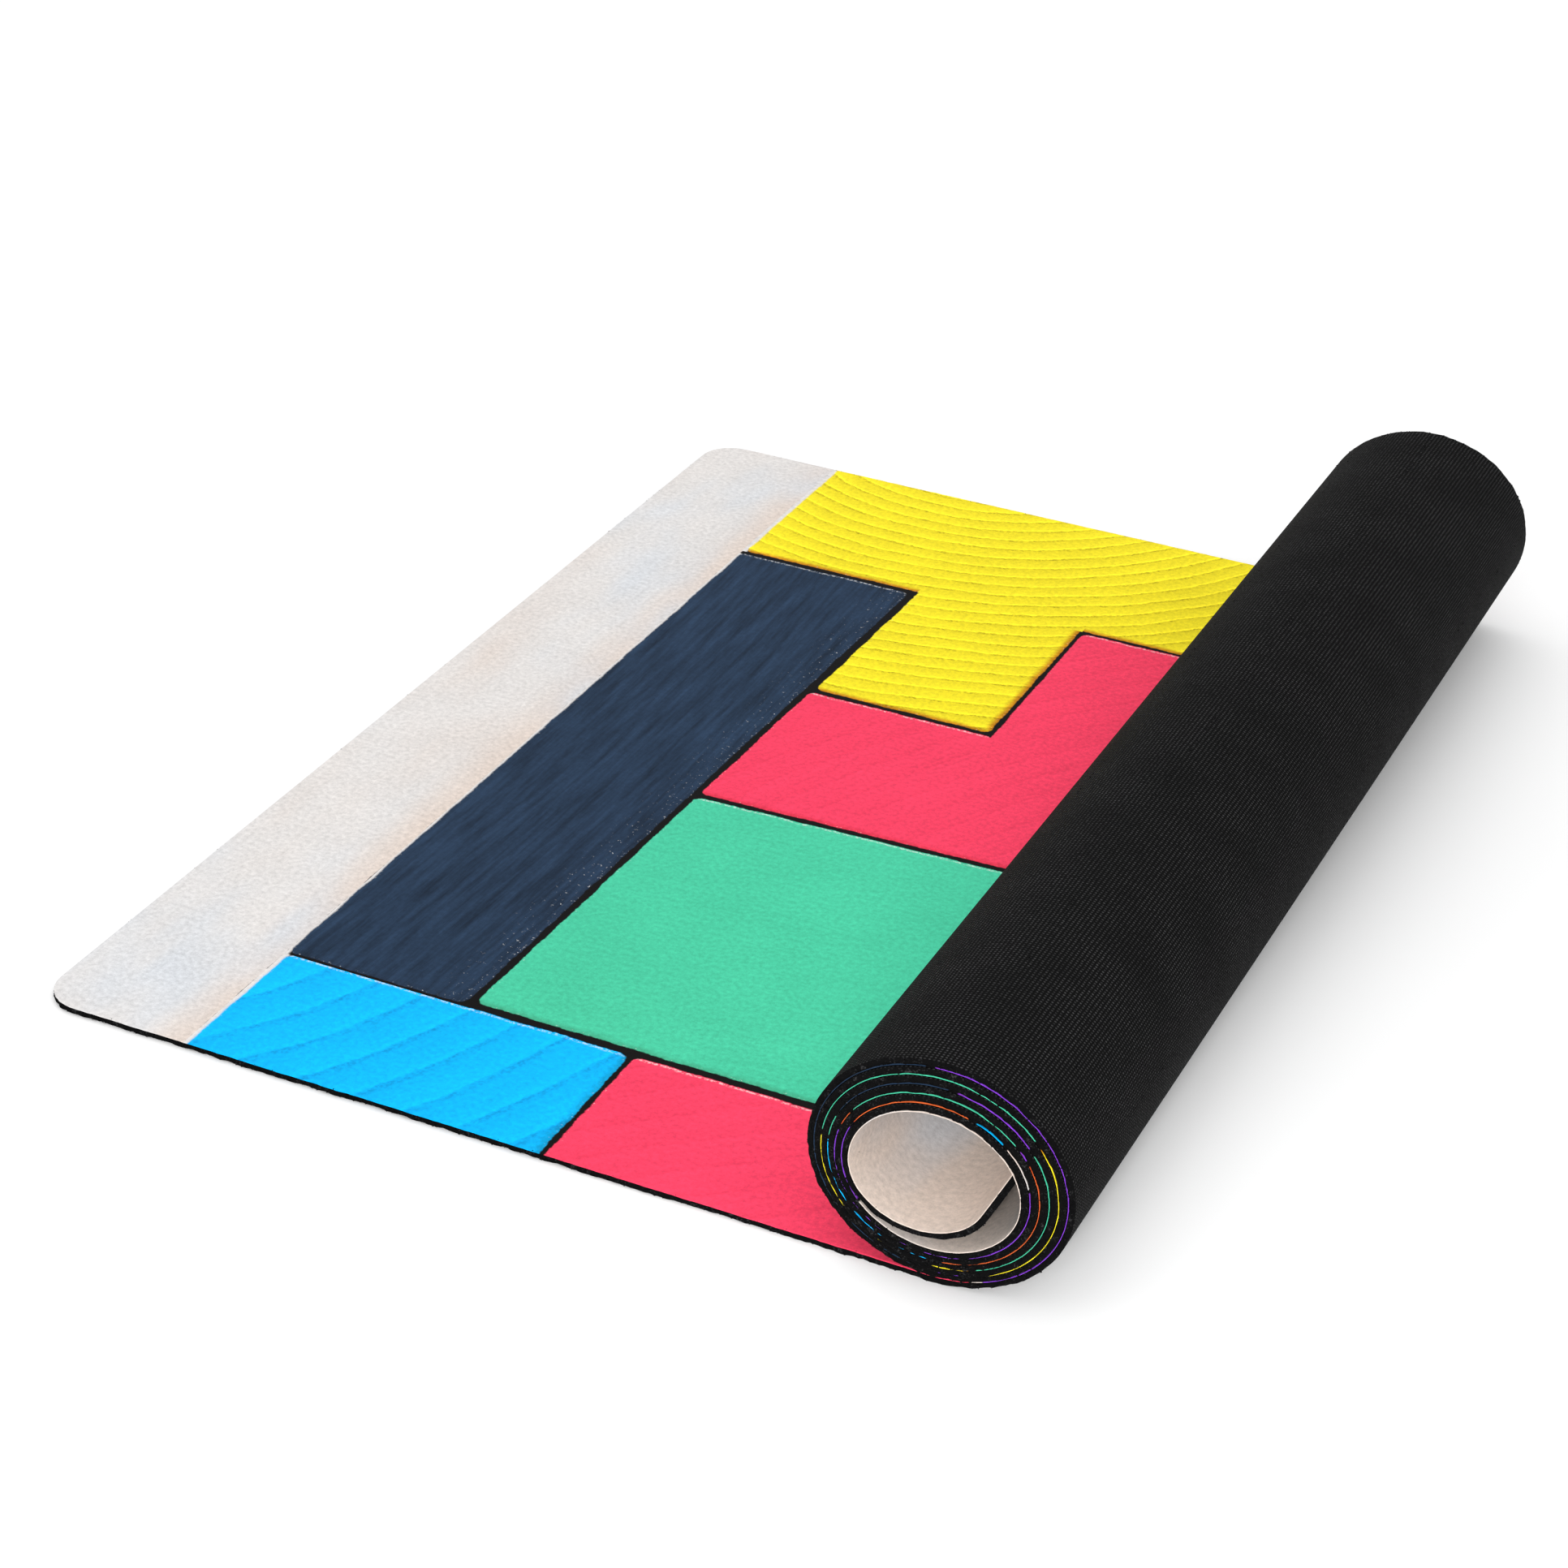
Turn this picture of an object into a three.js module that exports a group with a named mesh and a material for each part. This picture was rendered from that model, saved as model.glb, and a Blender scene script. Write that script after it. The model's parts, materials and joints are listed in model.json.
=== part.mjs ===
// A long exercise-type floor mat, thin printed fabric bonded on a black rubber base, lying
// flat at one end and rolled up over itself at the other.
// Units are millimetres. +X runs along the mat to the roll, +Y across its width, +Z is up,
// and the origin is on the floor under the middle of the mat as it lies.
//
// The flat section carries a chain of strips, the outermost part of the roll. Each strip is a
// slice of the mat that turns through the same angle, so that opening every fold by its own
// angle lays the chain flat. The chain carries the rest of the roll, down to the mat's loose
// end. Every length of the mat is made in its two layers.
import * as THREE from 'three';

// Driving dimensions.
const MAT_WIDTH = 610;
const BASE_THICKNESS = 2.5;
const FACE_THICKNESS = 0.25;
const FLAT_LENGTH = 378;
const CORNER_RADIUS = 17;
const ROLL_RADIUS = 50;
const TURN_CLEARANCE = 0.35;
const FULL_TURNS = 6;
const STRIPS_PER_TURN = 9;
const MOVING_STRIPS = 11;
const STRIP_GAP = 0.3;
const SIDE_SLIP = 9;
const FLAP_TIGHTENING = 5.1;
const FLAP_CURVE_DEG = 64;
const FLAP_LEAD_DEG = 80;
const FLAP_TIP_CLEARANCE = 0.34;

// Fineness of the curves.
const STEPS_PER_STRIP = 5;
const CORNER_STEPS = 10;
const WALK_STEPS_PER_STRIP = 40;

const MAT_THICKNESS = BASE_THICKNESS + FACE_THICKNESS;
const TURN_PITCH = MAT_THICKNESS + TURN_CLEARANCE;
const FULL_ANGLE = 2 * Math.PI;
const STRIP_ANGLE = FULL_ANGLE / STRIPS_PER_TURN;
const ROLL_START_ANGLE = MOVING_STRIPS * STRIP_ANGLE;
const FLAP_START_ANGLE = FULL_TURNS * FULL_ANGLE - THREE.MathUtils.degToRad(FLAP_LEAD_DEG);
const FLAP_END_ANGLE = FULL_TURNS * FULL_ANGLE + THREE.MathUtils.degToRad(FLAP_CURVE_DEG);
const LAST_TURN_RADIUS = ROLL_RADIUS - TURN_PITCH * FLAP_START_ANGLE / FULL_ANGLE;

const LAYERS = [
  {
    name: 'rubber',
    bottom: 0,
    top: BASE_THICKNESS,
    finish: { color: 0x1b1b1c, roughness: 0.82, metalness: 0 },
  },
  {
    name: 'fabric',
    bottom: BASE_THICKNESS,
    top: MAT_THICKNESS,
    finish: { color: 0xe9e4df, roughness: 0.95, metalness: 0 },
  },
];

// Radius of the rubber side at a given angle of turning. It shrinks evenly with every turn,
// and the loose end inside the roll has one tighter radius of its own.
function curveRadius(angle) {
  if (angle > FLAP_START_ANGLE) {
    return LAST_TURN_RADIUS - FLAP_TIGHTENING;
  }
  return ROLL_RADIUS - TURN_PITCH * angle / FULL_ANGLE;
}

// Points of the rubber side, found by walking along the curve in small even steps.
const walkStep = STRIP_ANGLE / WALK_STEPS_PER_STRIP;
const walked = [new THREE.Vector2(FLAT_LENGTH, 0)];
while ((walked.length - 1) * walkStep < FLAP_END_ANGLE) {
  const middle = (walked.length - 0.5) * walkStep;
  const stride = 2 * curveRadius(middle) * Math.sin(walkStep / 2);
  const heading = new THREE.Vector2(Math.cos(middle), Math.sin(middle));
  walked.push(walked.at(-1).clone().addScaledVector(heading, stride));
}

// The loose end runs on straight until its tip is just clear of the turn around it.
function flapTailLength() {
  const middle = new THREE.Vector2(FLAT_LENGTH + TURN_PITCH / FULL_ANGLE, ROLL_RADIUS);
  const offset = walked.at(-1).clone().sub(middle);
  const heading = new THREE.Vector2(Math.cos(FLAP_END_ANGLE), Math.sin(FLAP_END_ANGLE));
  const hollowRadius = LAST_TURN_RADIUS - MAT_THICKNESS;
  const behind = offset.dot(heading);
  const reach = Math.sqrt(hollowRadius ** 2 - offset.lengthSq() + behind ** 2) - behind;
  return reach - FLAP_TIP_CLEARANCE;
}

// A station is one cross line of the mat: where its rubber side is, which way it faces, how
// far its two ends are drawn in and how far it has slipped sideways in the roll.
function rolledStation(angle, pastEnd = 0, drawnIn = 0) {
  const place = angle / walkStep;
  const before = Math.min(Math.floor(place), walked.length - 2);
  const foot = walked[before].clone().lerp(walked[before + 1], place - before);
  foot.addScaledVector(new THREE.Vector2(Math.cos(angle), Math.sin(angle)), pastEnd);
  return { foot, angle, drawnIn, slip: -SIDE_SLIP * angle / FLAP_END_ANGLE };
}

function flatStation(x, drawnIn = 0) {
  return { foot: new THREE.Vector2(x, 0), angle: 0, drawnIn, slip: 0 };
}

// Stations of a round-cornered end, each as its distance from the end and how far it is drawn in.
function roundEnd() {
  const cuts = [];
  for (let step = 0; step <= CORNER_STEPS; step += 1) {
    const turn = Math.PI / 2 * step / CORNER_STEPS;
    cuts.push({
      fromEnd: CORNER_RADIUS * (1 - Math.cos(turn)),
      drawnIn: CORNER_RADIUS * (1 - Math.sin(turn)),
    });
  }
  return cuts;
}

// Stations from one angle to another, evenly spaced.
function curvedRun(startAngle, endAngle) {
  const steps = Math.ceil((endAngle - startAngle) / STRIP_ANGLE * STEPS_PER_STRIP);
  const run = [];
  for (let step = 0; step <= steps; step += 1) {
    run.push(rolledStation(startAngle + (endAngle - startAngle) * step / steps));
  }
  return run;
}

// Half of a strip's gap, as an angle at that place in the roll.
function halfGap(angle) {
  return STRIP_GAP / 2 / curveRadius(angle);
}

// One layer of a length of mat, as a closed body through its stations.
function layerGeometry(stations, bottom, top) {
  const corners = [];
  for (const { foot, angle, drawnIn, slip } of stations) {
    const inward = new THREE.Vector2(-Math.sin(angle), Math.cos(angle));
    const low = foot.clone().addScaledVector(inward, bottom);
    const high = foot.clone().addScaledVector(inward, top);
    const near = drawnIn + slip;
    const far = MAT_WIDTH - drawnIn + slip;
    corners.push(low.x, near, low.y, low.x, far, low.y);
    corners.push(high.x, far, high.y, high.x, near, high.y);
  }
  const faces = [0, 2, 1, 0, 3, 2];
  for (let ring = 0; ring < stations.length - 1; ring += 1) {
    for (let side = 0; side < 4; side += 1) {
      const here = 4 * ring + side;
      const next = 4 * ring + (side + 1) % 4;
      faces.push(here, next, next + 4, here, next + 4, here + 4);
    }
  }
  const last = 4 * (stations.length - 1);
  faces.push(last, last + 1, last + 2, last, last + 2, last + 3);
  const geometry = new THREE.BufferGeometry();
  geometry.setAttribute('position', new THREE.Float32BufferAttribute(corners, 3));
  geometry.setIndex(faces);
  geometry.computeVertexNormals();
  return geometry;
}

const mat = new THREE.Group();

function addLength(name, stations) {
  for (const layer of LAYERS) {
    const geometry = layerGeometry(stations, layer.bottom, layer.top);
    const mesh = new THREE.Mesh(geometry, new THREE.MeshStandardMaterial(layer.finish));
    mesh.name = `${name}_${layer.name}`;
    mat.add(mesh);
  }
}

const flatEnd = roundEnd().map(({ fromEnd, drawnIn }) => flatStation(fromEnd, drawnIn));
addLength('flat', [...flatEnd, flatStation(FLAT_LENGTH - STRIP_GAP / 2)]);

for (let number = 1; number <= MOVING_STRIPS; number += 1) {
  const start = (number - 1) * STRIP_ANGLE;
  const end = number * STRIP_ANGLE;
  const label = `strip_${String(number).padStart(2, '0')}`;
  addLength(label, curvedRun(start + halfGap(start), end - halfGap(end)));
}

const rollRun = curvedRun(ROLL_START_ANGLE + halfGap(ROLL_START_ANGLE), FLAP_END_ANGLE);
const tailLength = flapTailLength();
const looseEnd = roundEnd().reverse().map(({ fromEnd, drawnIn }) => (
  rolledStation(FLAP_END_ANGLE, tailLength - fromEnd, drawnIn)
));
addLength('roll', [...rollRun, ...looseEnd]);

// The origin goes to the floor, under the middle of the mat's box.
const box = new THREE.Box3().setFromObject(mat);
const centre = box.getCenter(new THREE.Vector3());
mat.position.set(-centre.x, -centre.y, 0);

export default mat;
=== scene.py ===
"""Makes a part-rolled floor mat: its black rubber base, its printed suede face and a studio."""

import functools
import json
import math

import bmesh
import bpy
import numpy as np
from mathutils import Matrix, Vector


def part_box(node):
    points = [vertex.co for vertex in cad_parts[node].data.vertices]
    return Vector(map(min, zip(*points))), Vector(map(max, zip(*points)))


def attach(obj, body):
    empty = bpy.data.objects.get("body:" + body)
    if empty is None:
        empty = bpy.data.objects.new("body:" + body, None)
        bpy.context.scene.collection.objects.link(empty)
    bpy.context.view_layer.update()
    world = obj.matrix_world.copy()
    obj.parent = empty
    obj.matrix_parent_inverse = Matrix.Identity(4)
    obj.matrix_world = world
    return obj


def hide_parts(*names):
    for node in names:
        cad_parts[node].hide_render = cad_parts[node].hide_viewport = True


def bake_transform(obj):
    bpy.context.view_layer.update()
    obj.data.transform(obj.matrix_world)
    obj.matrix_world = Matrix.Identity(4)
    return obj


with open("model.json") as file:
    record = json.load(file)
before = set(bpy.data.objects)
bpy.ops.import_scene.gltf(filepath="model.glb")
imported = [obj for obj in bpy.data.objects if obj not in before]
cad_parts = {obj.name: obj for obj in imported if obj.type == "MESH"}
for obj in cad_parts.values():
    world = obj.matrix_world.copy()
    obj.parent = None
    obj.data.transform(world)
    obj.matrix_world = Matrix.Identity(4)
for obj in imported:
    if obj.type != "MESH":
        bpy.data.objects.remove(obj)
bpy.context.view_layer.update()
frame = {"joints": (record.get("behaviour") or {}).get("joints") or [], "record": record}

JOINTS = frame["joints"]
FLAT_LOW, FLAT_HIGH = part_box("flat_rubber")
LEFT_END = FLAT_LOW.x
NEAR_EDGE = FLAT_LOW.y
TURN = 2 * math.pi

bl_info = {
    "name": "Roll-up Floor Mat",
    "version": (1, 0, 0),
    "blender": (4, 5, 0),
    "location": "View3D > Sidebar > Floor Mat",
    "description": "Builds a part-rolled floor mat with a printed suede face on a rubber base",
    "category": "Object",
}


# ---------------------------------------------------------------- sizes and colours


def number_prop(name, description, default, **more):
    return bpy.props.FloatProperty(name=name, description=description, default=default, **more)


def vector_prop(name, description, default, **more):
    given = {"name": name, "description": description, "default": default}
    return bpy.props.FloatVectorProperty(**given, **more)


def length_prop(name, description, default):
    more = {"min": 0.0, "max": 3.0, "precision": 5, "subtype": "DISTANCE", "unit": "LENGTH"}
    return number_prop(name, description, default, **more)


def share_prop(name, description, default, high=1.0):
    return number_prop(name, description, default, min=0.0, max=high, subtype="FACTOR")


def angle_prop(name, description, degrees):
    turn = math.radians(degrees)
    return number_prop(name, description, turn, subtype="ANGLE", unit="ROTATION")


def power_prop(name, description, default):
    return number_prop(name, description, default, subtype="POWER", unit="POWER")


def colour_prop(name, description, default):
    return vector_prop(name, description, default, min=0.0, max=1.0, size=3, subtype="COLOR")


def place_prop(name, description, default):
    return vector_prop(name, description, default, subtype="TRANSLATION", unit="LENGTH")


class MatShape(bpy.types.PropertyGroup):
    """Sizes of the sheet and of the roll it lies in."""

    width: length_prop("Width", "Width of the mat", FLAT_HIGH.y - FLAT_LOW.y)
    base: length_prop("Base", "Thickness of the rubber base", FLAT_HIGH.z - FLAT_LOW.z)
    face: length_prop("Face", "Thickness of the printed fabric", 0.00025)
    flat: length_prop("Flat Length", "Length that lies flat, up to the roll", 0.378)
    corner: length_prop("Corner Radius", "Radius of the round corners", 0.017)
    roll: length_prop("Roll Radius", "Radius of the roll's outermost turn", 0.050)
    pitch: length_prop("Turn Pitch", "How much smaller each turn's radius is", 0.0031)
    turns: bpy.props.IntProperty(
        name="Turns", description="Full turns in the roll", default=6, min=1
    )
    strip: angle_prop("Fold Angle", "Turning of the mat between two folds", 40)
    lead: angle_prop("Loose Lead", "Turning left in the last turn when the end tightens", 80)
    curl: angle_prop("Loose Curl", "Turning of the loose end past the last full turn", 64)
    loose: length_prop("Loose Radius", "Radius of the loose end inside the roll", 0.027)
    tail: length_prop("Tail", "Straight length at the loose end", 0.021)
    slip: length_prop("Side Slip", "How far the innermost turn has slipped out sideways", 0.0065)
    drop: length_prop("Drop", "How far the roll sags forward under its own weight", 0.0029)
    squeeze: length_prop("Squeeze", "How far the roll is flattened into an oval", 0.00235)
    raggedness: length_prop("Raggedness", "How uneven the cut edges are", 0.00044)
    proud: length_prop("Fabric Edge", "How far the fabric stands out past the rubber", 0.00035)
    crumb: length_prop("Crumb", "Size of the crumbs that stand out of the cut rubber", 0.00085)
    crumb_count: number_prop("Crumb Count", "Crumbs on each square metre of edge", 480000, min=0)


class MatRubber(bpy.types.PropertyGroup):
    """Finish of the rubber base."""

    colour: colour_prop("Rubber", "Colour of the rubber", (0.0022, 0.0022, 0.0023))
    # The raised dots' lighter colour is a painted highlight: the light that their tops catch,
    # painted onto the black rubber.
    raised: colour_prop("Raised Dots", "Colour of the weave's raised dots", (0.052, 0.052, 0.053))
    weave: length_prop("Weave Pitch", "Distance between the weave's rows of dots", 0.00145)
    relief: length_prop("Weave Relief", "Height of the embossed weave", 0.00022)
    roughness: share_prop("Roughness", "Roughness of the embossed underside", 0.62)
    edge: colour_prop("Cut Edge", "Colour of the open cut edge", (0.0030, 0.0030, 0.0032))
    edge_light: colour_prop("Cut Grain", "Lighter grains in a cut edge", (0.030, 0.030, 0.031))
    edge_relief: length_prop("Cut Relief", "Height of the grain in a cut edge", 0.00035)


class MatPrint(bpy.types.PropertyGroup):
    """Paints of the printed wooden blocks and the nap of the fabric."""

    pale: colour_prop("Pale Wood", "The bare wood", (0.68, 0.655, 0.64))
    tan: colour_prop("Tan Wood", "The bare wood at the loose end", (0.70, 0.60, 0.53))
    warm: colour_prop("Warm Wood", "Warmer clouds in the bare wood", (0.66, 0.52, 0.43))
    cool: colour_prop("Cool Wood", "Cooler clouds in the bare wood", (0.60, 0.635, 0.68))
    navy: colour_prop("Navy", "Navy paint", (0.016, 0.034, 0.068))
    yellow: colour_prop("Yellow", "Yellow paint", (0.90, 0.76, 0.020))
    red: colour_prop("Red", "Red paint", (0.86, 0.050, 0.115))
    green: colour_prop("Green", "Green paint", (0.062, 0.53, 0.32))
    blue: colour_prop("Blue", "Blue paint", (0.001, 0.47, 0.93))
    purple: colour_prop("Purple", "Purple paint", (0.23, 0.05, 0.62))
    orange: colour_prop("Orange", "Orange paint", (0.68, 0.12, 0.028))
    gap: colour_prop("Gaps", "The dark between two blocks", (0.0035, 0.003, 0.003))
    glint: colour_prop("Chipped Edge", "Chips and worn edges of the paint", (0.80, 0.80, 0.80))
    nap: length_prop("Nap", "Height of the suede nap", 0.00012)
    roughness: share_prop("Roughness", "Roughness of the printed suede", 0.9)
    sheen: share_prop("Sheen", "Soft shine of the suede nap", 0.04)


class MatStage(bpy.types.PropertyGroup):
    """Floor, lights and camera."""

    floor: colour_prop("Floor", "Colour of the floor", (0.96, 0.96, 0.96))
    sky: share_prop("Surround", "Strength of the white surround", 1.0, 4.0)
    key: power_prop("Key Light", "Power of the big soft light", 5.5)
    front: power_prop("Front Light", "Power of the soft light from the front", 10.0)
    hollow: power_prop("Hollow Light", "Power of the narrow light into the roll", 80.0)
    lens: number_prop("Focal Length", "The camera's focal length", 80.82, unit="CAMERA")
    camera: place_prop("Camera Place", "Where the camera stands", (0.50864, -1.23974, 0.76091))
    aim: place_prop("Camera Aim", "Point that the camera looks at", (-0.03072, -0.00145, 0.0))
    tilt: angle_prop("Camera Tilt", "Turn of the picture about the line of sight", 2.677)


# ---------------------------------------------------------------- the mat's own line

UNEVEN = np.random.default_rng(11).uniform(-1.0, 1.0, 4096)
ROW_STRIDE = 619


def uneven(place, step, row=0):
    """A smooth, repeatable unevenness between -1 and 1 along a length."""
    at = np.asarray(place, float) / step + ROW_STRIDE * row
    first = np.floor(at).astype(int)
    part = at - first
    part = part * part * (3 - 2 * part)
    count = len(UNEVEN)
    return UNEVEN[first % count] * (1 - part) + UNEVEN[(first + 1) % count] * part


def loose_start(shape):
    return shape.turns * TURN - shape.lead


def curl_end(shape):
    return shape.turns * TURN + shape.curl


def sheet_length(shape, angle):
    """Length of mat from its flat end to an angle of turning in the roll."""
    middle = (shape.base + shape.face) / 2
    tight = min(angle, loose_start(shape))
    length = shape.flat + (shape.roll - middle) * tight - shape.pitch * tight * tight / (2 * TURN)
    return length + (shape.loose - middle) * (angle - tight)


def roll_point(shape, angle, depth, past=0.0):
    """Place in X and Z of a point of the roll, depth inwards from the rubber side."""
    tight = min(angle, loose_start(shape))
    shrink = shape.pitch / TURN
    reach = shape.roll - shrink * tight
    tight_out = np.array([math.sin(tight), -math.cos(tight)])
    tight_along = np.array([math.cos(tight), math.sin(tight)])
    out = np.array([math.sin(angle), -math.cos(angle)])
    along = np.array([math.cos(angle), math.sin(angle)])
    foot = np.array([shape.flat + shrink, shape.roll]) + reach * tight_out - shrink * tight_along
    foot += shape.loose * (out - tight_out)
    sag = shape.drop * (math.cos(angle) - 1) - shape.squeeze * (math.cos(2 * angle) - 1)
    pull = -shape.drop * math.sin(angle) + 2 * shape.squeeze * math.sin(2 * angle)
    return foot + (sag - depth) * out + (pull + past) * along


class Station:
    """One cross line of the mat: where it is, which way it faces and how far along the sheet."""

    def __init__(self, shape, length, angle=None, past=0.0, drawn_in=0.0):
        self.shape = shape
        self.length = length
        self.angle = angle
        self.past = past
        self.drawn_in = drawn_in
        self.slip = 0.0 if angle is None else -shape.slip * angle / curl_end(shape)

    def place(self, depth):
        if self.angle is None:
            return np.array([self.length, depth])
        return roll_point(self.shape, self.angle, depth, self.past)


def round_end(shape, steps=14):
    """Distances from a round-cornered end, each with how far the sides are drawn in there."""
    turns = [math.pi / 2 * step / steps for step in range(steps + 1)]
    return [(shape.corner * (1 - math.cos(t)), shape.corner * (1 - math.sin(t))) for t in turns]


def flat_stations(shape, spacing):
    cuts = [Station(shape, along, drawn_in=inset) for along, inset in round_end(shape)]
    count = round((shape.flat - shape.corner) / spacing)
    places = np.linspace(shape.corner, shape.flat, count + 1)[1:]
    return cuts + [Station(shape, along) for along in places]


def rolled_stations(shape, first, last, spacing):
    count = max(4, round((sheet_length(shape, last) - sheet_length(shape, first)) / spacing))
    angles = np.linspace(first, last, count + 1)
    return [Station(shape, sheet_length(shape, angle), angle) for angle in angles]


def tail_stations(shape):
    """The straight tail with its round corners, after the last of the curl."""
    end = curl_end(shape)
    start = sheet_length(shape, end)
    return [
        Station(shape, start + shape.tail - from_end, end, shape.tail - from_end, inset)
        for from_end, inset in reversed(round_end(shape))
    ]


# ---------------------------------------------------------------- layered lengths of mat

# Places of the points across the width, from each edge inwards.
EDGE_ROW = [0.0, 0.0006, 0.0016, 0.0035, 0.007, 0.012, 0.020, 0.030, 0.042]
EDGE_REACH = EDGE_ROW[-1]
FINE_START = EDGE_ROW[3]
FINE_STEP = 0.003
COARSE_COUNT = 12
# A layer thicker than this is rubber, with a cut wall of its own.
THICK_LAYER = 0.001
THICK_LEVELS = np.array([0.08, 0.3, 0.55, 0.8, 0.94])
THIN_LEVELS = np.array([0.2, 0.8])
# The unevenness of a cut edge is three waves, each with its length, its share and its row.
# It fades out within a few millimetres, is hollow in the middle and differs at each level.
LEVEL_HEIGHT = 0.00045
FINE_WAVE = (0.0016, 1.0, 0)
MIDDLE_WAVE = (0.0052, 0.7, 7)
LONG_WAVE = (0.031, 0.35, 9)
FAR_ROWS = 40
EDGE_FADE = 10
EDGE_HOLLOW = 0.9
FABRIC_SHARE = 0.35

CRUMB_SMALLEST = (0.5, 0.35, 0.35)
CRUMB_LARGEST = (1.5, 1.0, 0.9)


def across(shape, fine):
    """Places across the width: close at both edges, and in a fine row where the print is."""
    if fine:
        edge = EDGE_ROW[:3]
        middle = list(np.arange(FINE_START, shape.width - FINE_START + FINE_STEP / 30, FINE_STEP))
    else:
        edge = EDGE_ROW
        middle = list(np.linspace(EDGE_REACH, shape.width - EDGE_REACH, COARSE_COUNT))[1:-1]
    return np.array(edge + middle + [shape.width - e for e in reversed(edge)])


def ring_of(shape, low, high, fine_top):
    """Outline of a layer's cross line, as places across, depths, and which part each is on."""
    top = across(shape, fine_top)
    bottom = across(shape, False)
    thick = high - low
    steps = THICK_LEVELS if thick > THICK_LAYER else THIN_LEVELS
    rows = [(y, low, 0) for y in bottom]
    rows += [(shape.width, low + thick * s, 1) for s in steps]
    rows += [(y, high, 2) for y in top[::-1]]
    rows += [(0.0, low + thick * s, 3) for s in steps[::-1]]
    return np.array(rows)


def drawn_across(shape, ring, station, low, high):
    """Places across at one station, with its round corners drawn in and its edges uneven."""
    y, depth = ring[:, 0], ring[:, 1]
    near = np.clip(1 - y / EDGE_REACH, 0, 1)
    far = np.clip(1 - (shape.width - y) / EDGE_REACH, 0, 1)
    moved = y + station.drawn_in * (near - far)
    middle = 1 - np.abs((depth - low) / (high - low) * 2 - 1)
    is_rubber = high - low > THICK_LAYER
    size = shape.raggedness if is_rubber else shape.raggedness * FABRIC_SHARE
    proud = 0.0 if is_rubber else shape.proud
    length = station.length
    for side, mask, row in ((1, near, 0), (-1, far, FAR_ROWS)):
        level = np.round(depth / LEVEL_HEIGHT).astype(int)
        rough = 0.0
        for (step, share, own_row), rows in (
            (FINE_WAVE, level + row), (MIDDLE_WAVE, row), (LONG_WAVE, row)
        ):
            rough = rough + share * uneven(length, step, rows + own_row)
        bulge = rough - EDGE_HOLLOW * middle
        moved = moved + side * mask**EDGE_FADE * (size * bulge - proud)
    return moved


def shell_mesh(name, shape, stations, low, high, fine_top):
    """A closed mesh of one layer through its stations, and its own places for the print."""
    ring = ring_of(shape, low, high, fine_top)
    points = np.zeros((len(stations), len(ring), 3))
    spread = np.zeros((len(stations), len(ring), 2))
    for row, station in enumerate(stations):
        y = drawn_across(shape, ring, station, low, high)
        foot, head = station.place(low), station.place(high)
        share = ((ring[:, 1] - low) / (high - low))[:, None]
        place = foot + (head - foot) * share
        points[row, :, 0] = place[:, 0] + LEFT_END
        points[row, :, 1] = y + station.slip + NEAR_EDGE
        points[row, :, 2] = place[:, 1]
        spread[row, :, 0] = station.length
        spread[row, :, 1] = y
    rings, size = points.shape[:2]
    index = np.arange(rings * size).reshape(rings, size)
    here, there = index[:-1], index[1:]
    quads = [here, np.roll(here, -1, 1), np.roll(there, -1, 1), there]
    quads = np.stack(quads, -1).reshape(-1, 4)
    part = ring[:, 2].astype(int)
    wall = (part == 1) | (part == 3) | (np.roll(part, -1) != part)
    cut = np.concatenate([np.tile(wall, rings - 1), [True, True]])
    corner = points.reshape(-1, 3)
    # A ring runs along the bottom first, so its faces and these two caps point outwards.
    caps = [index[0][::-1], index[-1]]
    loops = np.concatenate([quads.ravel(), *caps])
    starts = np.concatenate([np.arange(len(quads)) * 4, [len(quads) * 4, len(quads) * 4 + size]])
    mesh = bpy.data.meshes.new(name)
    mesh.vertices.add(len(corner))
    mesh.vertices.foreach_set("co", corner.ravel())
    mesh.loops.add(len(loops))
    mesh.loops.foreach_set("vertex_index", loops.astype(np.int32))
    mesh.polygons.add(len(starts))
    mesh.polygons.foreach_set("loop_start", starts.astype(np.int32))
    mesh.update(calc_edges=True)
    mesh.polygons.foreach_set("use_smooth", np.ones(len(starts), bool))
    ends = np.zeros(len(mesh.edges) * 2, np.int32)
    mesh.edges.foreach_get("vertices", ends)
    ends = ends.reshape(-1, 2) // size
    capped = (ends[:, 0] == ends[:, 1]) & ((ends[:, 0] == 0) | (ends[:, 0] == rings - 1))
    sharp = mesh.attributes.new("sharp_edge", "BOOLEAN", "EDGE")
    sharp.data.foreach_set("value", capped)
    layer = mesh.uv_layers.new(name="UVMap")
    layer.uv.foreach_set("vector", spread.reshape(-1, 2)[loops].ravel())
    is_cut = mesh.attributes.new("cut_edge", "BOOLEAN", "FACE")
    is_cut.data.foreach_set("value", cut)
    mesh.validate()
    return mesh, cut, loops, starts, spread.reshape(-1, 2)


def placed(name, mesh):
    piece = bpy.data.objects.new(name, mesh)
    bpy.context.scene.collection.objects.link(piece)
    return piece


def made_once(store, name):
    """Calls a maker only if Blender doesn't yet hold the material or group of that name."""

    def wrap(make):
        @functools.wraps(make)
        def get():
            return getattr(bpy.data, store).get(name) or make(name)

        return get

    return wrap


def socket_key(tree, name):
    items = tree.interface.items_tree
    return next(s.identifier for s in items if s.name == name and s.in_out == "INPUT")


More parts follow.
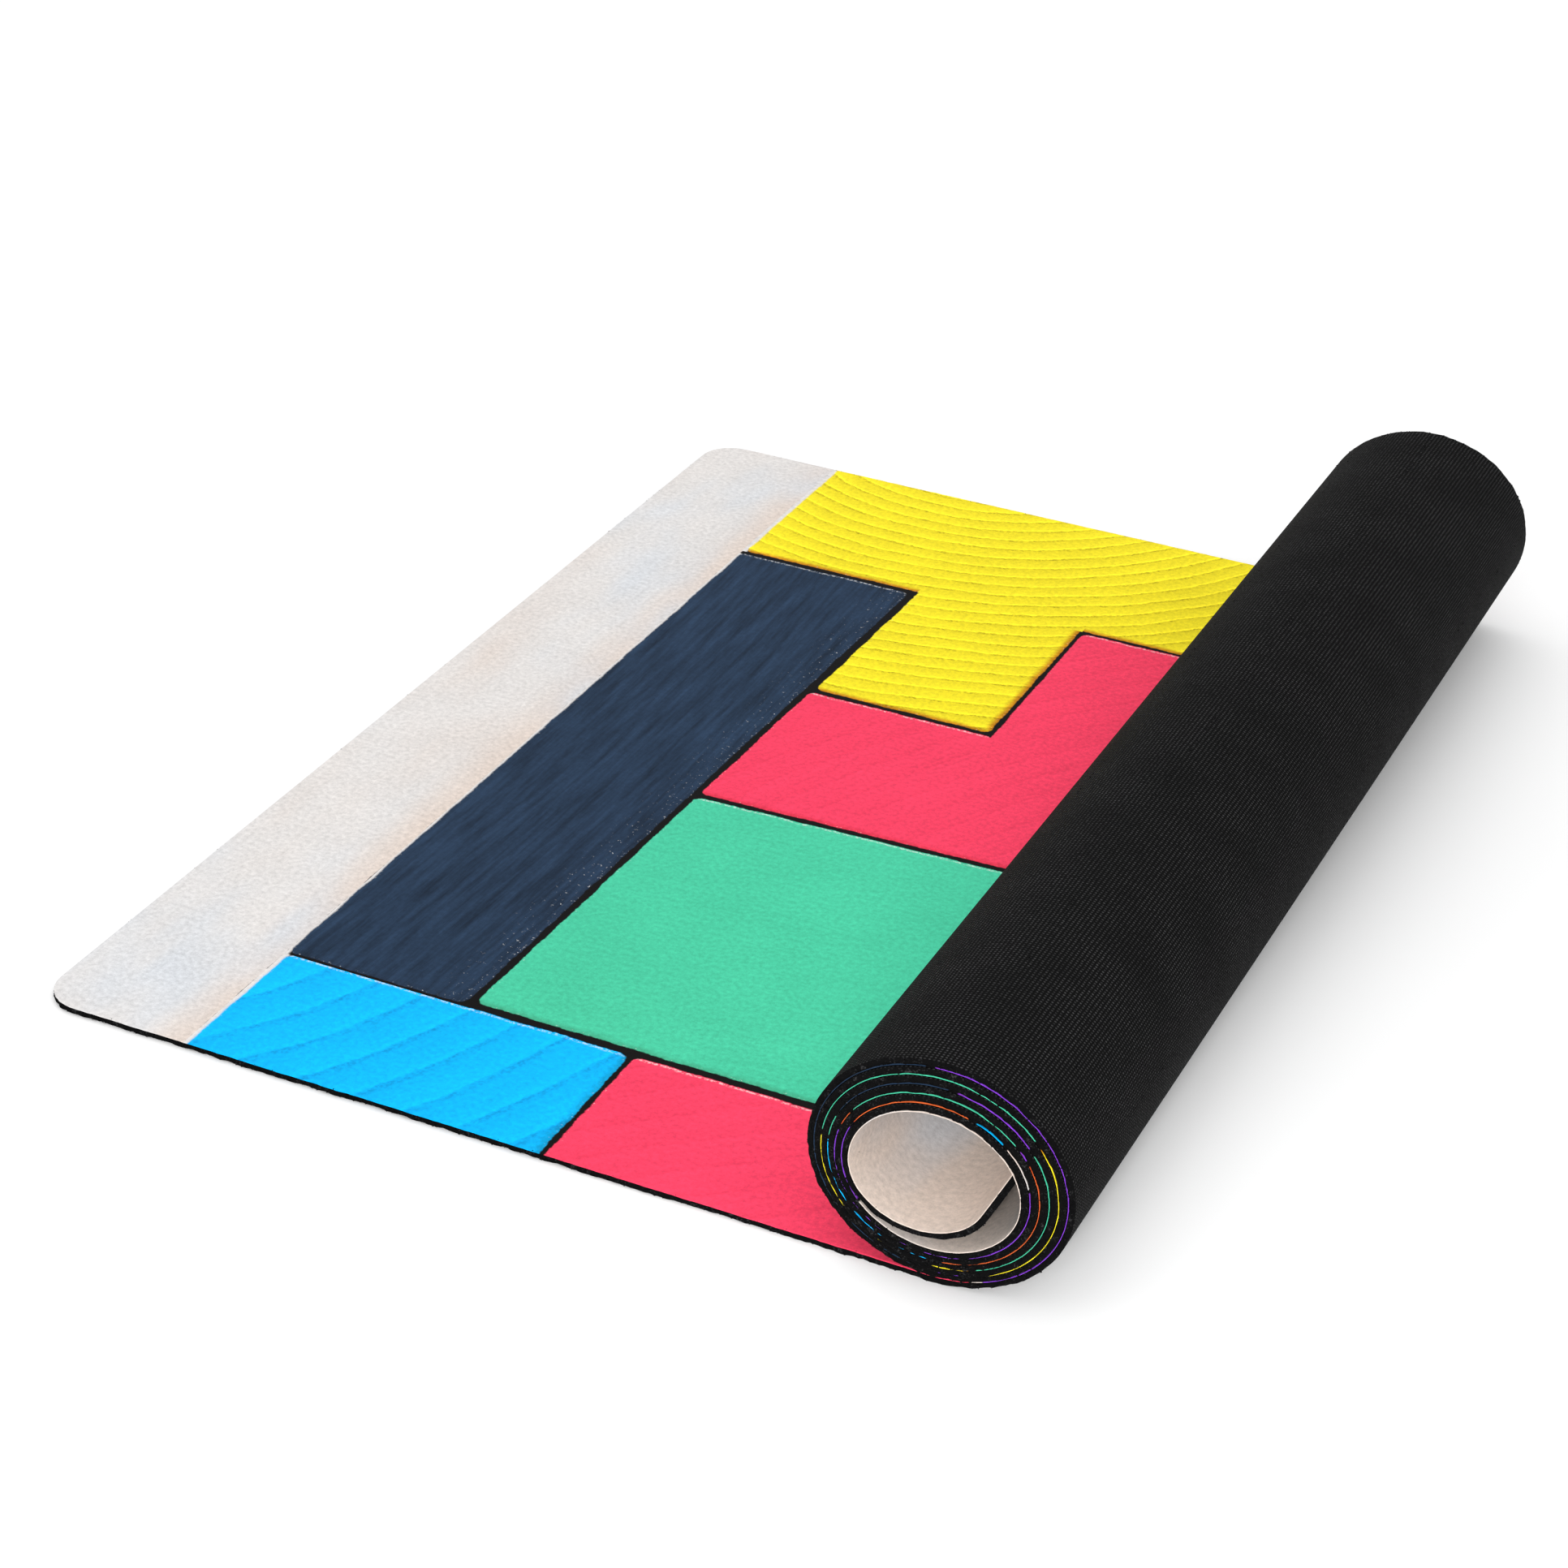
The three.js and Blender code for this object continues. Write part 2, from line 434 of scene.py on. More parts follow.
@made_once("node_groups", "Cut Rubber Crumbs")
def crumb_tree(name):
    """Geometry Nodes: irregular crumbs scattered over the faces of a cut rubber edge."""
    tree = bpy.data.node_groups.new(name, "GeometryNodeTree")
    face = tree.interface
    face.new_socket("Geometry", in_out="INPUT", socket_type="NodeSocketGeometry")
    face.new_socket("Geometry", in_out="OUTPUT", socket_type="NodeSocketGeometry")
    for label, default in (("Crumbs", 200000.0), ("Size", 0.0004)):
        socket = face.new_socket(label, in_out="INPUT", socket_type="NodeSocketFloat")
        socket.default_value = default
    seed = face.new_socket("Seed", in_out="INPUT", socket_type="NodeSocketInt")
    seed.default_value = 1
    face.new_socket("Finish", in_out="INPUT", socket_type="NodeSocketMaterial")
    nodes = tree.nodes
    given = nodes.new("NodeGroupInput")
    result = nodes.new("NodeGroupOutput")
    is_cut = nodes.new("GeometryNodeInputNamedAttribute")
    is_cut.data_type = "BOOLEAN"
    is_cut.inputs["Name"].default_value = "cut_edge"
    scatter = nodes.new("GeometryNodeDistributePointsOnFaces")
    grain = nodes.new("GeometryNodeMeshIcoSphere")
    grain.inputs["Radius"].default_value = 0.5
    grain.inputs["Subdivisions"].default_value = 1
    turn = nodes.new("FunctionNodeRandomValue")
    turn.data_type = "FLOAT_VECTOR"
    turn.inputs["Max"].default_value = (TURN, TURN, TURN)
    spread = nodes.new("FunctionNodeRandomValue")
    spread.data_type = "FLOAT_VECTOR"
    spread.inputs["Min"].default_value = CRUMB_SMALLEST
    spread.inputs["Max"].default_value = CRUMB_LARGEST
    sized = nodes.new("ShaderNodeVectorMath")
    sized.operation = "SCALE"
    crumbs = nodes.new("GeometryNodeInstanceOnPoints")
    real = nodes.new("GeometryNodeRealizeInstances")
    finish = nodes.new("GeometryNodeSetMaterial")
    both = nodes.new("GeometryNodeJoinGeometry")
    for source, output, target, socket in (
        (given, "Geometry", scatter, "Mesh"),
        (is_cut, "Attribute", scatter, "Selection"),
        (given, "Crumbs", scatter, "Density"),
        (given, "Seed", scatter, "Seed"),
        (given, "Seed", turn, "Seed"),
        (given, "Seed", spread, "Seed"),
        (spread, "Value", sized, 0),
        (given, "Size", sized, "Scale"),
        (scatter, "Points", crumbs, "Points"),
        (grain, "Mesh", crumbs, "Instance"),
        (turn, "Value", crumbs, "Rotation"),
        (sized, "Vector", crumbs, "Scale"),
        (crumbs, "Instances", real, "Geometry"),
        (real, "Geometry", finish, "Geometry"),
        (given, "Finish", finish, "Material"),
        (given, "Geometry", both, "Geometry"),
        (finish, "Geometry", both, "Geometry"),
        (both, "Geometry", result, "Geometry"),
    ):
        tree.links.new(source.outputs[output], target.inputs[socket])
    return tree


def with_crumbs(piece, shape, seed, finish):
    """Adds the crumbs to a rubber piece and makes the result a plain mesh."""
    tree = crumb_tree()
    modifier = piece.modifiers.new("Crumbs", "NODES")
    modifier.node_group = tree
    inputs = {"Crumbs": shape.crumb_count, "Size": shape.crumb, "Seed": seed, "Finish": finish}
    for name, value in inputs.items():
        modifier[socket_key(tree, name)] = value
    graph = bpy.context.evaluated_depsgraph_get()
    made = bpy.data.meshes.new_from_object(piece.evaluated_get(graph), depsgraph=graph)
    piece.modifiers.remove(modifier)
    bare = piece.data
    piece.data = made
    bpy.data.meshes.remove(bare)
    made.name = piece.name
    return piece


def rubber_piece(name, shape, stations, seed):
    """A length of the rubber base with its embossed underside and ragged cut edges."""
    mesh, cut, *_ = shell_mesh(name, shape, stations, 0.0, shape.base, False)
    mesh.materials.append(rubber_weave_material())
    mesh.materials.append(rubber_cut_material())
    mesh.polygons.foreach_set("material_index", cut.astype(np.int32))
    piece = with_crumbs(placed(name, mesh), shape, seed, rubber_cut_material())
    return piece


def print_piece(name, shape, stations):
    """A length of the printed face fabric."""
    top = shape.base + shape.face
    mesh, _, loops, starts, spread = shell_mesh(name, shape, stations, shape.base, top, True)
    paint_blocks(mesh, loops, starts, spread)
    mesh.materials.append(printed_suede_material())
    piece = placed(name, mesh)
    return piece


# ---------------------------------------------------------------- the printed blocks

# Each block is a paint, its grain and its rectangles: left, right, near and far sides in
# millimetres along and across the mat. Rectangles of one block join without a gap.
BLOCKS = (
    ("pale", 0, (-9, 68, -9, 619)),
    ("navy", 1, (68, 154, 74, 496)),
    ("yellow", 2, (69, 158, 499, 619), (158, 247, 499, 619),
        (158, 247, 382, 499), (247, 402, 499, 619)),
    ("red", 3, (157, 249, 270, 379), (249, 336, 270, 379), (249, 336, 379, 497)),
    ("green", 4, (157, 392, 77, 267)),
    ("blue", 5, (69, 223, -9, 73)),
    ("red", 6, (225, 392, -9, 73)),
    ("pale", 0, (392, 397, -9, 30)),
    ("purple", 7, (397, 532, -9, 73)),
    ("navy", 8, (535, 674, -9, 150), (535, 610, 150, 300)),
    ("blue", 9, (341, 484, 271, 497)),
    ("orange", 10, (396, 532, 77, 267)),
    ("purple", 11, (406, 560, 501, 619)),
    ("yellow", 12, (488, 560, 304, 497), (488, 531, 271, 304)),
    ("purple", 13, (677, 692, -9, 150)),
    ("yellow", 14, (695, 775, -9, 150), (695, 775, 150, 226)),
    ("red", 15, (614, 691, 154, 300), (614, 691, 300, 380)),
    ("green", 16, (564, 610, 304, 497), (564, 700, 501, 619)),
    ("blue", 17, (614, 775, 384, 497)),
    ("red", 18, (704, 858, 501, 619)),
    ("orange", 19, (695, 775, 230, 380)),
    ("green", 20, (778, 877, -9, 150), (778, 877, 150, 300)),
    ("yellow", 21, (880, 964, -9, 226)),
    ("navy", 22, (778, 858, 304, 497)),
    ("purple", 23, (862, 964, 230, 420), (881, 964, 226, 230)),
    ("orange", 24, (862, 1010, 424, 619)),
    ("green", 25, (967, 1043, -9, 150), (967, 1043, 150, 300)),
    ("purple", 26, (1046, 1076, -9, 150)),
    ("navy", 27, (1079, 1125, -9, 300)),
    ("red", 28, (967, 1043, 304, 420), (1014, 1125, 424, 619)),
    ("yellow", 29, (1046, 1076, 154, 300), (1046, 1125, 304, 420)),
    ("green", 30, (1128, 1140, -9, 226)),
    ("blue", 31, (1142, 1209, -9, 226), (1142, 1209, 226, 380)),
    ("orange", 32, (1212, 1290, -9, 150), (1212, 1290, 150, 226)),
    ("purple", 33, (1292, 1297, -9, 226)),
    ("green", 34, (1299, 1363, -9, 150), (1299, 1363, 150, 380)),
    ("orange", 35, (1365, 1373, -9, 226)),
    ("purple", 36, (1376, 1509, -9, 150), (1376, 1440, 150, 300)),
    ("navy", 37, (1128, 1209, 384, 619)),
    ("yellow", 38, (1212, 1295, 230, 497), (1212, 1295, 497, 619)),
    ("red", 39, (1299, 1440, 384, 497), (1365, 1373, 230, 300)),
    ("blue", 40, (1299, 1520, 501, 619)),
    ("yellow", 41, (1444, 1543, 154, 300), (1444, 1543, 300, 497)),
    ("pale", 0, (1511, 1530, -9, 110)),
    ("blue", 42, (1532, 1543, -9, 150)),
    ("orange", 43, (1546, 1591, -9, 226), (1546, 1591, 226, 380)),
    ("purple", 44, (1594, 1634, -9, 226)),
    ("green", 45, (1524, 1634, 501, 619), (1547, 1634, 384, 497)),
    ("red", 46, (1594, 1634, 230, 380)),
    ("tan", 0, (1635, 1950, -9, 619)),
)

MM = 1000.0
BLOCK_SEED = 0.37

# Grain of each paint: how strong the rings, the streaks, the burnt edges and the specks are.
GRAIN = {
    "pale": (0.0, 0.05, 0.0, 0.0),
    "tan": (0.0, 0.05, 0.0, 0.0),
    "navy": (0.0, 1.25, 0.15, 1.0),
    "yellow": (1.0, 0.08, 1.0, 0.05),
    "red": (0.16, 0.13, 0.45, 0.08),
    "green": (0.0, 0.09, 0.35, 0.10),
    "blue": (0.55, 0.10, 0.40, 0.02),
    "purple": (0.15, 0.15, 0.35, 0.1),
    "orange": (0.30, 0.15, 0.60, 0.1),
}

# Middle of the growth rings, from the block's own middle, and their spacing, in millimetres.
RING_PLACES = (
    (0, 900, 30), (-4000, 20, 14), (-105, 199, 10.5), (430, -300, 15), (-300, 900, 18),
    (-270, 130, 20), (420, -520, 17), (-200, -700, 15), (3500, 0, 14),
)


def share_a_side(one, other):
    """Whether two rectangles of one block meet along a side, and which side of the first."""
    left, right, near, far = one
    overlaps_y = min(far, other[3]) - max(near, other[2]) > 1
    overlaps_x = min(right, other[1]) - max(left, other[0]) > 1
    return (
        overlaps_y and left == other[1],
        overlaps_y and right == other[0],
        overlaps_x and near == other[3],
        overlaps_x and far == other[2],
    )


def block_table():
    """One row for each rectangle: its sides, which sides are open, paint, grain and rings."""
    rows = []
    for paint, number, *rectangles in BLOCKS:
        left = min(r[0] for r in rectangles)
        right = max(r[1] for r in rectangles)
        near = min(r[2] for r in rectangles)
        far = max(r[3] for r in rectangles)
        east, north, spacing = RING_PLACES[number % len(RING_PLACES)]
        middle = (left + right) / 2 + east, (near + far) / 2 + north
        centre = (*middle, spacing, number * BLOCK_SEED)
        for one in rectangles:
            joined = [any(s) for s in zip(*(share_a_side(one, o) for o in rectangles))]
            pale_side = paint != "pale" and one[0] <= 70
            rows.append((one, joined, paint, centre, pale_side))
    return rows


def print_place(x, y):
    """Where a point of the mat falls on the blocks, which aren't cut quite square."""
    lean = 0.024 * (y - 285) * np.exp(-(((x - 155) / 45) ** 2))
    rise = 0.035 * (x - 190) * np.exp(-(((y - 270) / 60) ** 2)) * (x < 400)
    return x - lean, y - rise


def paint_blocks(mesh, loops, starts, spread):
    """Writes on each face which block it is on, and how far each corner is from its sides."""
    paints = bpy.context.scene.mat_print
    counts = np.diff(np.concatenate([starts, [len(loops)]]))
    places = spread[loops] * MM
    x, y = print_place(places[:, 0], places[:, 1])
    face = np.repeat(np.arange(len(starts)), counts)
    middle_x = np.bincount(face, x) / counts
    middle_y = np.bincount(face, y) / counts
    best = np.full(len(starts), -1)
    nearest = np.full(len(starts), 1e9)
    table = block_table()
    for row, (sides, *_rest) in enumerate(table):
        left, right, near, far = sides
        past = [left - middle_x, middle_x - right, near - middle_y, middle_y - far]
        away = np.maximum.reduce(past)
        closer = away < nearest
        best[closer] = row
        nearest[closer] = away[closer]
    chosen = best[face]
    written = ("sides", "paint", "rings", "wear")
    kept = {name: np.zeros((len(loops), 4), np.float32) for name in written}
    for row, (sides, joined, paint, centre, pale_side) in enumerate(table):
        mine = chosen == row
        if not mine.any():
            continue
        left, right, near, far = sides
        away = np.stack([x[mine] - left, right - x[mine], y[mine] - near, far - y[mine]], 1)
        kept["sides"][mine] = away / MM + np.array(joined, float)
        strength, streaks, burn, specks = GRAIN[paint]
        kept["paint"][mine] = (*getattr(paints, paint), strength)
        kept["rings"][mine] = (centre[0] / MM, centre[1] / MM, centre[2] / MM, centre[3])
        kept["wear"][mine] = (streaks, burn, 1.0 if pale_side else 0.0, specks)
    for name, values in kept.items():
        attribute = mesh.attributes.new(name, "FLOAT_COLOR", "CORNER")
        attribute.data.foreach_set("color", values.ravel())


# ---------------------------------------------------------------- shader building


class Wiring:
    """Adds nodes to a tree. An input is a plain value or another node's output."""

    def __init__(self, tree):
        self.tree = tree

    def add(self, kind, inputs=None, **settings):
        node = self.tree.nodes.new(kind)
        for key, value in settings.items():
            setattr(node, key, value)
        self.fill(node, inputs or {})
        return node

    def fill(self, node, inputs):
        for key, value in inputs.items():
            if isinstance(value, bpy.types.NodeSocket):
                self.tree.links.new(value, node.inputs[key])
            else:
                node.inputs[key].default_value = value

    def calc(self, operation, *values):
        return self.add("ShaderNodeMath", dict(enumerate(values)), operation=operation).outputs[0]

    def plus(self, one, other):
        return self.calc("ADD", one, other)

    def minus(self, one, other):
        return self.calc("SUBTRACT", one, other)

    def times(self, one, other):
        return self.calc("MULTIPLY", one, other)

    def ramp(self, value, low, high, out_low=0.0, out_high=1.0):
        """Eases from one value to another as the input goes from low to high."""
        inputs = {"Value": value, "From Min": low, "From Max": high}
        inputs.update({"To Min": out_low, "To Max": out_high})
        node = self.add("ShaderNodeMapRange", inputs, interpolation_type="SMOOTHSTEP")
        return node.outputs["Result"]

    def mix(self, share, one, other, blend="MIX"):
        node = self.add("ShaderNodeMix", data_type="RGBA", blend_type=blend)
        self.fill(node, {0: share, 6: one, 7: other})
        return node.outputs[2]

    def tint(self, one, other):
        return self.mix(1.0, one, other, "MULTIPLY")

    def noise(self, place, scale, detail=2.0, roughness=0.5, output="Fac"):
        inputs = {"Vector": place, "Scale": scale, "Detail": detail, "Roughness": roughness}
        return self.add("ShaderNodeTexNoise", inputs).outputs[output]

    def waver(self, place, scale, roughness=0.5):
        return self.minus(self.noise(place, scale, 2.0, roughness), 0.5)

    def vector(self, x, y, z=0.0):
        return self.add("ShaderNodeCombineXYZ", {0: x, 1: y, 2: z}).outputs[0]

    def grey(self, value):
        return self.add("ShaderNodeCombineColor", {0: value, 1: value, 2: value}).outputs[0]

    def split(self, vector):
        return self.add("ShaderNodeSeparateXYZ", {0: vector}).outputs

    def vector_calc(self, operation, *values):
        inputs = dict(enumerate(values))
        node = self.add("ShaderNodeVectorMath", inputs, operation=operation)
        return node.outputs["Value" if operation == "LENGTH" else "Vector"]

    def scaled(self, vector, by):
        inputs = {0: vector, "Scale": by}
        return self.add("ShaderNodeVectorMath", inputs, operation="SCALE").outputs[0]

    def group(self, tree, inputs):
        return self.add("ShaderNodeGroup", inputs, node_tree=tree).outputs

    def bump(self, strength, distance, height):
        inputs = {"Strength": strength, "Distance": distance, "Height": height}
        return self.add("ShaderNodeBump", inputs).outputs[0]


def solid(colour):
    return (*colour, 1.0)


def effect_group(name, inputs, outputs):
    """An empty shader group that takes a place and some numbers, and puts out numbers."""
    tree = bpy.data.node_groups.new(name, "ShaderNodeTree")
    tree.interface.new_socket("Place", in_out="INPUT", socket_type="NodeSocketVector")
    for label, default in inputs.items():
        socket = tree.interface.new_socket(label, in_out="INPUT", socket_type="NodeSocketFloat")
        socket.default_value = default
    for label in outputs:
        tree.interface.new_socket(label, in_out="OUTPUT", socket_type="NodeSocketFloat")
    given = tree.nodes.new("NodeGroupInput")
    result = tree.nodes.new("NodeGroupOutput")
    return tree, Wiring(tree), given.outputs, result


@made_once("node_groups", "Rubber Grit")
def grit_group(name):
    """Grains and pits, as a light mask and a height. Used by both rubber finishes."""
    sizes = {"Grain": 900.0, "Share": 0.3}
    tree, wire, given, result = effect_group(name, sizes, ("Mask", "Height"))
    fine = wire.noise(given["Place"], given["Grain"], 3.0, 0.6)
    coarse = wire.noise(given["Place"], wire.times(given["Grain"], 0.22), 2.0)
    height = wire.plus(wire.times(fine, 0.6), wire.times(coarse, 0.4))
    edge = wire.minus(0.72, wire.times(given["Share"], 0.4))
    mask = wire.ramp(height, edge, wire.plus(edge, 0.12))
    wire.fill(result, {"Mask": mask, "Height": height})
    return tree


@made_once("node_groups", "Suede Nap")
def nap_group(name):
    """Short suede nap: a tone that varies about one, and a height."""
    sizes = {"Fibre": 2.2, "Patchiness": 0.1}
    tree, wire, given, result = effect_group(name, sizes, ("Tone", "Height"))
    fibre = wire.noise(given["Place"], given["Fibre"], 3.0, 0.65)
    clump = wire.noise(given["Place"], wire.times(given["Fibre"], 0.3), 2.0)
    smudge = wire.noise(given["Place"], wire.times(given["Fibre"], 0.02), 2.0)
    height = wire.plus(wire.times(fibre, 0.45), wire.times(clump, 0.55))
    tone = wire.plus(height, wire.times(smudge, 0.16))
    tone = wire.minus(tone, 0.58)
    tone = wire.calc("MULTIPLY_ADD", tone, given["Patchiness"], 1.0)
    wire.fill(result, {"Tone": tone, "Height": height})
    return tree


@made_once("node_groups", "Embossed Weave")
def weave_group(name):
    """Raised weave in rows and columns, each dot a little uneven."""
    tree, wire, given, result = effect_group(name, {"Pitch": 1.4}, ("Dots", "Height"))
    drift = wire.noise(given["Place"], 0.35, output="Color")
    parts = wire.split(wire.vector_calc("ADD", given["Place"], wire.scaled(drift, 0.55)))
    wave = wire.calc("DIVIDE", math.pi, given["Pitch"])
    along = wire.calc("SINE", wire.times(parts[0], wave))
    over = wire.calc("SINE", wire.times(parts[1], wave))
    rows = wire.calc("ABSOLUTE", wire.times(along, over))
    strength = wire.noise(given["Place"], 0.8, 2.0)
    dots = wire.times(wire.ramp(rows, 0.45, 0.95), wire.ramp(strength, 0.3, 0.7, 0.25, 1.0))
    wire.fill(result, {"Dots": dots, "Height": rows})
    return tree


def new_material(name):
    """A material with only its output and a Principled shader, and the wiring to fill it."""
    material = bpy.data.materials.new(name)
    material.use_nodes = True
    tree = material.node_tree
    tree.nodes.clear()
    shader = tree.nodes.new("ShaderNodeBsdfPrincipled")
    output = tree.nodes.new("ShaderNodeOutputMaterial")
    tree.links.new(shader.outputs[0], output.inputs[0])
    return material, Wiring(tree), shader


def sheet_place(wire):
    """The place along and across the sheet, in millimetres."""
    spread = wire.add("ShaderNodeUVMap", uv_map="UVMap").outputs[0]
    return wire.scaled(spread, MM)


@made_once("materials", "Rubber Embossed Underside")
def rubber_weave_material(name):
    rubber = bpy.context.scene.mat_rubber
    material, wire, shader = new_material(name)
    place = sheet_place(wire)
    pitch = rubber.weave * MM
    weave = wire.group(weave_group(), {"Place": place, "Pitch": pitch})
    grit = wire.group(grit_group(), {"Place": place, "Grain": 3.0, "Share": 0.4})
    worn = wire.noise(place, 0.035, 3.0)
    # Painted highlight: the raised dots are given a lighter colour for the light that their tops
    # catch. The slow noise kept as worn only makes this painted highlight stronger in some
    # patches and weaker in others.
    lit = wire.times(weave["Dots"], wire.ramp(worn, 0.3, 0.7, 0.55, 1.0))
    height = wire.calc("MULTIPLY_ADD", grit["Height"], 0.3, weave["Height"])
    inputs = {
        "Base Color": wire.mix(lit, solid(rubber.colour), solid(rubber.raised)),
        "Roughness": wire.ramp(weave["Dots"], 0.0, 1.0, 0.95, rubber.roughness),
        "Specular IOR Level": 0.06,
        "Normal": wire.bump(0.9, rubber.relief, height),
    }
    wire.fill(shader, inputs)
    return material


@made_once("materials", "Rubber Cut Edge")
def rubber_cut_material(name):
    rubber = bpy.context.scene.mat_rubber
    material, wire, shader = new_material(name)
    place = wire.add("ShaderNodeTexCoord").outputs["Object"]
    grit = wire.group(grit_group(), {"Place": place, "Grain": 1400.0, "Share": 0.42})
    inputs = {
        "Base Color": wire.mix(grit["Mask"], solid(rubber.edge), solid(rubber.edge_light)),
        "Roughness": wire.ramp(grit["Mask"], 0.0, 1.0, 0.95, 0.75),
        "Specular IOR Level": 0.05,
        "Normal": wire.bump(0.8, rubber.edge_relief, grit["Height"]),
    }
    wire.fill(shader, inputs)
    return material


@made_once("materials", "Printed Suede")
def printed_suede_material(name):
    """The print of worn, painted wooden blocks, on a suede nap."""
    prints = bpy.context.scene.mat_print
    material, wire, shader = new_material(name)
    place = sheet_place(wire)
    calc, plus, minus, times = wire.calc, wire.plus, wire.minus, wire.times
    ramp, mix, noise = wire.ramp, wire.mix, wire.noise

    def kept(attribute):
        source = {"attribute_name": attribute, "attribute_type": "GEOMETRY"}
        node = wire.add("ShaderNodeAttribute", **source)
        return wire.split(node.outputs["Vector"]), node.outputs["Alpha"], node.outputs["Color"]

    sides, north, _ = kept("sides")
    _, ring_share, paint = kept("paint")
    ring_place, seed, _ = kept("rings")
    wear, specks, _ = kept("wear")
    streak_share, burn_share, pale_side = wear[0], wear[1], wear[2]

    # How far a point is from its block's sides, in millimetres, with worn and uneven sides.
    slow = wire.waver(place, 0.06)
    quick = wire.waver(place, 0.45, 0.6)
    wander = plus(times(slow, 2.0), times(quick, 1.1))
    west = calc("MULTIPLY_ADD", sides[0], MM, wander)
    east = calc("MULTIPLY_ADD", sides[1], MM, wander)
    south = calc("MULTIPLY_ADD", sides[2], MM, wander)
    north = calc("MULTIPLY_ADD", north, MM, wander)
    lower = calc("MINIMUM", east, south)
    round_off = 4.0
    lack_x = minus(round_off, calc("MINIMUM", east, west))
    lack_y = minus(round_off, calc("MINIMUM", south, north))
    lacks = wire.vector(calc("MAXIMUM", lack_x, 0.0), calc("MAXIMUM", lack_y, 0.0))
    closest = minus(round_off, wire.vector_calc("LENGTH", lacks))

    # Growth rings round the block's own middle, and streaks along them.
    centre = wire.scaled(wire.vector(ring_place[0], ring_place[1]), MM)
    arm = wire.vector_calc("SUBTRACT", place, centre)
    reach = wire.vector_calc("LENGTH", arm)
    arms = wire.split(arm)
    bearing = calc("ARCTAN2", arms[1], arms[0])
    sweep = times(bearing, reach)
    seeded = times(seed, 37.0)
    drift = wire.waver(place, 0.018)
    tremble = wire.waver(place, 0.3, 0.6)
    bent = calc("MULTIPLY_ADD", drift, 7.0, reach)
    bent = calc("MULTIPLY_ADD", tremble, 2.6, bent)
    spacing = times(ring_place[2], MM)
    turns = calc("DIVIDE", bent, calc("MAXIMUM", spacing, 1.0))
    phase = calc("FRACT", plus(turns, seeded))
    dashes = wire.vector(times(reach, 0.35), times(sweep, 0.16), seeded)
    dashes = noise(dashes, 1.0, 2.0, 0.6)
    dark_line = times(ramp(phase, 0.0, 0.05), ramp(phase, 0.05, 0.30, 1.0, 0.0))
    soft_band = ramp(phase, 0.1, 0.95, 0.22, 0.0)
    crumble = ramp(noise(place, 0.75, 3.0, 0.7), 0.42, 0.58, 0.35, 1.0)
    dark_line = times(dark_line, crumble)
    dark_line = times(dark_line, ramp(dashes, 0.36, 0.60, 0.35, 1.0))
    light_line = times(ramp(phase, 0.80, 0.97), ramp(phase, 0.985, 1.0, 1.0, 0.0))
    ring_dark = times(calc("MAXIMUM", dark_line, soft_band), ring_share)
    ring_light = times(light_line, times(ring_share, ring_share))
    fibres = wire.vector(times(reach, 0.30), times(sweep, 0.022), seeded)
    streaks = minus(noise(fibres, 1.0, 5.0, 0.68), 0.5)
    streaks = times(streaks, streak_share)

    # Bare wood is cloudy, warm and cool. Painted wood keeps its own colour.
    is_pale = ramp(wire.split(paint)[2], 0.45, 0.50)
    is_pale = times(is_pale, ramp(wire.split(paint)[0], 0.62, 0.66))
    stretched = wire.vector_calc("MULTIPLY", place, (1.0, 0.35, 1.0))
    cloud = noise(stretched, 0.012, 3.0, 0.55)
    warm_edge = ramp(east, 0.0, 22.0, 0.55, 0.0)
    warm_share = plus(ramp(cloud, 0.48, 0.70, 0.0, 0.40), warm_edge)
    cool_share = ramp(cloud, 0.34, 0.50, 0.8, 0.0)
    bare = mix(warm_share, paint, solid(prints.warm))
    bare = mix(cool_share, bare, solid(prints.cool))
    coat = mix(is_pale, paint, bare)

    # Shade the rings and streaks into the coat.
    shade = calc("MULTIPLY_ADD", ring_dark, -0.52, 1.0)
    shade = calc("MULTIPLY_ADD", streaks, 1.9, shade)
    deep = wire.tint(coat, coat)
    coat = mix(times(ring_dark, 0.5), coat, deep)
    coat = wire.tint(coat, wire.grey(shade))
    brighter = wire.tint(coat, solid((1.25, 1.25, 1.25)))
    coat = mix(times(ring_light, 0.8), coat, brighter)

    # Worn sides: burnt at the lower and right sides, chipped and lit at the others.
    burn = times(ramp(lower, 0.4, 4.6, 1.0, 0.0), burn_share)
    scorched = wire.tint(coat, solid((0.55, 0.16, 0.08)))
    coat = mix(times(burn, 0.85), coat, scorched)
    chip_noise = noise(place, 0.7, 3.0, 0.65)
    lit_band = times(ramp(north, 0.3, 0.8), ramp(north, 1.0, 2.2, 1.0, 0.0))
    lit_band = times(lit_band, ramp(chip_noise, 0.42, 0.62, 0.0, 0.75))
    side_band = times(ramp(closest, 0.2, 0.6), ramp(closest, 0.8, 1.8, 1.0, 0.0))
    side_band = times(side_band, ramp(chip_noise, 0.60, 0.70, 0.0, 0.7))
    chips = calc("MAXIMUM", lit_band, side_band)
    spots = ramp(noise(place, 0.42, 4.0, 0.8), 0.63, 0.66)
    spots = times(spots, ramp(east, 1.0, 20.0, 0.9, 0.0))
    chips = calc("MAXIMUM", chips, times(spots, specks))
    chips = times(chips, minus(1.0, is_pale))
    coat = mix(times(chips, 0.8), coat, solid(prints.glint))

    # Dark gaps between blocks, and a soft pale one against the bare wood.
    pale_gap = times(pale_side, ramp(west, 0.4, 2.0, 1.0, 0.0))
    gap = mix(pale_gap, solid(prints.gap), solid(prints.pale))
    inside = ramp(closest, -0.15, ramp(pale_gap, 0.0, 1.0, 0.5, 1.3))
    coat = mix(inside, gap, coat)

